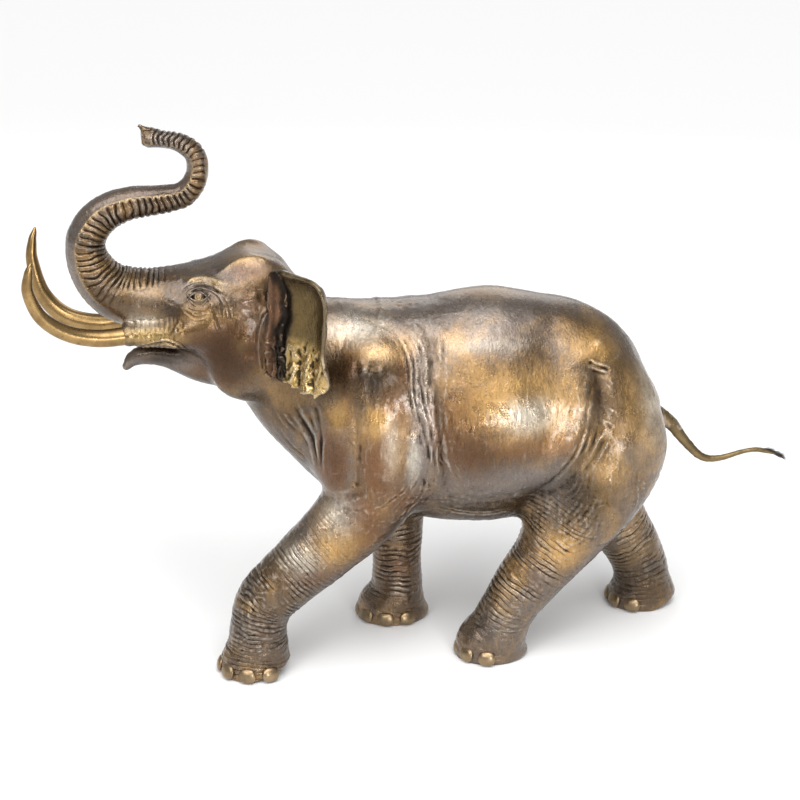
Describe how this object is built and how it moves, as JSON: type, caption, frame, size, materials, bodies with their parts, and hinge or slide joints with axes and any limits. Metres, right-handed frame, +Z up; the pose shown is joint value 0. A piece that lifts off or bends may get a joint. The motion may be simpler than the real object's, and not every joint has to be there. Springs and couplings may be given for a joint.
{
  "type": "elephant sculpture",
  "caption": "Cast bronze statue of a striding elephant with raised, forward-curling trunk, upswept tusks, spread ears and a trailing tail; stands on its own feet.",
  "frame": {"origin": "middle of the bounding box in plan, at the level of the soles", "axes": "+Z up, the elephant faces -X, its left side is -Y"},
  "size_m": [1.079, 0.3375, 0.7765],
  "materials": {
    "bronze": "patinated bronze: golden brown on the high places, grey-violet dark patina in the folds, polished gold tusks, nails and ears"
  },
  "bodies": {
    "root": {"elephant": "bronze"}
  },
  "joints": []
}
